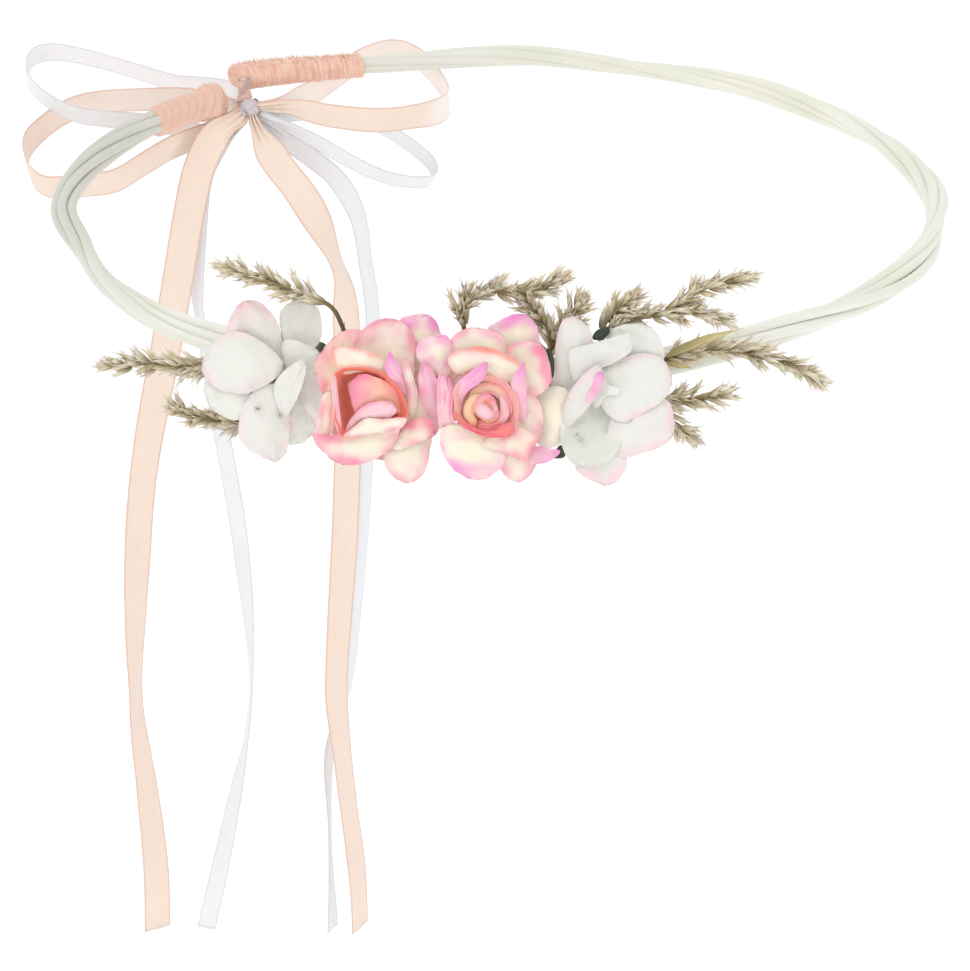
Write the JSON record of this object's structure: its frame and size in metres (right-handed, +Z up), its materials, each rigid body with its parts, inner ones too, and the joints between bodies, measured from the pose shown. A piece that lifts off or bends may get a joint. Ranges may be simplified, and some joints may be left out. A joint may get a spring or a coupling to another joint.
{
  "type": "flower crown",
  "caption": "Open twisted-cord hair hoop tied with a two-colour ribbon bow, with paper roses and dried sprigs on its front.",
  "frame": {"origin": "middle of the head opening, in the hoop's plane", "axes": "+Z up when worn, -Y towards the roses at the front, +Y towards the bow, +X completes the frame"},
  "size_m": [0.2009, 0.2104, 0.2509],
  "materials": {
    "ivory_cord": "smooth waxed ivory cord",
    "peach_satin": "peach satin ribbon",
    "white_satin": "cool white satin ribbon",
    "lashing_thread": "matte grey-brown thread",
    "green_tape": "matte dark green floral tape and taped wire",
    "white_paper": "matte white handmade paper with faint pink rims",
    "pink_paper": "matte cream handmade paper with pink and lilac rims",
    "straw": "dry straw-coloured flower spikes"
  },
  "bodies": {
    "crown": {"hoop_strand_1": "ivory_cord", "hoop_strand_2": "ivory_cord", "hoop_strand_3": "ivory_cord", "hoop_strand_4": "ivory_cord", "hoop_strand_5": "ivory_cord", "left_end_wrap": "peach_satin", "right_end_wrap": "peach_satin", "bow_knot": "white_satin", "knot_lashing": "lashing_thread", "peach_loop_left": "peach_satin", "white_loop_left": "white_satin", "peach_loop_right": "peach_satin", "white_loop_right": "white_satin", "stem_tape_1": "green_tape", "stem_tape_2": "green_tape", "stem_tape_3": "green_tape", "stem_tape_4": "green_tape", "rose_1_outer": "white_paper", "rose_1_middle": "white_paper", "rose_1_inner": "white_paper", "rose_1_bud": "white_paper", "rose_1_stem": "green_tape", "rose_2_outer": "pink_paper", "rose_2_middle": "pink_paper", "rose_2_inner": "pink_paper", "rose_2_bud": "pink_paper", "rose_2_stem": "green_tape", "rose_3_outer": "pink_paper", "rose_3_middle": "pink_paper", "rose_3_inner": "pink_paper", "rose_3_bud": "pink_paper", "rose_3_stem": "green_tape", "rose_4_outer": "white_paper", "rose_4_middle": "white_paper", "rose_4_inner": "white_paper", "rose_4_bud": "white_paper", "rose_4_stem": "green_tape", "sprig_1_stem": "green_tape", "sprig_1_head": "straw", "sprig_2_stem": "green_tape", "sprig_2_head": "straw", "sprig_3_stem": "green_tape", "sprig_3_head": "straw", "sprig_4_stem": "green_tape", "sprig_4_head": "straw", "sprig_5_stem": "green_tape", "sprig_5_head": "straw", "sprig_6_stem": "green_tape", "sprig_6_head": "straw", "sprig_7_stem": "green_tape", "sprig_7_head": "straw", "sprig_8_stem": "green_tape", "sprig_8_head": "straw"},
    "tails_left": {"peach_tail_left": "peach_satin", "white_tail_left": "white_satin"},
    "tails_right": {"peach_tail_right": "peach_satin", "white_tail_right": "white_satin"}
  },
  "joints": [
    {"name": "tails_left_swing", "type": "hinge", "parent": "crown", "child": "tails_left", "pos_m": [-0.06, 0.06, -0.0045], "axis": [1, 0, 0], "range_deg": [-12, 12]},
    {"name": "tails_right_swing", "type": "hinge", "parent": "crown", "child": "tails_right", "pos_m": [-0.053, 0.06, -0.005], "axis": [1, 0, 0], "range_deg": [-12, 12]}
  ]
}
